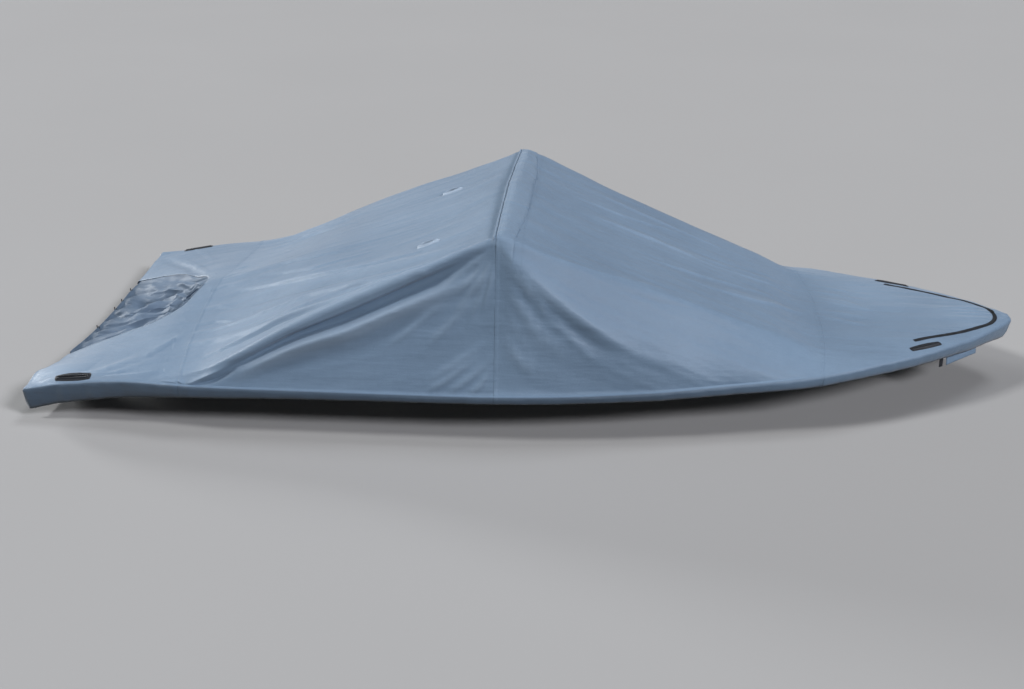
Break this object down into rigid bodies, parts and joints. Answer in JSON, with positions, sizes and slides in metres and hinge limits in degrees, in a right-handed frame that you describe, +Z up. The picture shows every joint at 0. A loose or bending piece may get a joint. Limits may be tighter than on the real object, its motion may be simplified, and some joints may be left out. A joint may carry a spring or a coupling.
{
  "type": "fitted boat cover",
  "caption": "Fitted cloth cover for a small open motorboat: a tent over a cross ridge, a rim that turns over the gunwale with a hem skirt, a flat bow deck and a gathered pocket at the transom.",
  "frame": {"origin": "the cover's support point: on its middle plane, 20 mm under the top of the ridge, where the boat's windscreen bow or boom would hold it up", "axes": "+X along the boat to the bow tip, +Y to the side that faces away in the picture, +Z up"},
  "size_m": [5.0305, 2.105, 0.9791],
  "materials": {
    "coated_cloth": "blue-grey coated woven polyester with a soft satin sheen",
    "pocket_cloth": "thinner blue-grey cloth, satin and crumpled",
    "dark_trim": "near-black woven tape, binding and cord",
    "dark_plastic": "near-black moulded plastic"
  },
  "bodies": {
    "root": {"stern_panel": "coated_cloth", "aft_panel": "coated_cloth", "front_panel": "coated_cloth", "bow_panel": "coated_cloth", "ridge_band": "coated_cloth", "ridge_welt": "coated_cloth", "bow_flap": "coated_cloth", "vent_welt_near": "coated_cloth", "vent_welt_far": "coated_cloth", "well_pocket": "pocket_cloth", "cleat_binding_aft_near": "dark_trim", "cleat_binding_aft_far": "dark_trim", "cleat_binding_fore_near": "dark_trim", "cleat_binding_fore_far": "dark_trim", "bow_zip": "dark_trim", "well_cord": "dark_trim", "bow_strap": "dark_trim", "zip_slider": "dark_plastic", "cord_hook_1": "dark_plastic", "cord_hook_2": "dark_plastic", "cord_hook_3": "dark_plastic", "cord_hook_4": "dark_plastic"}
  },
  "joints": []
}
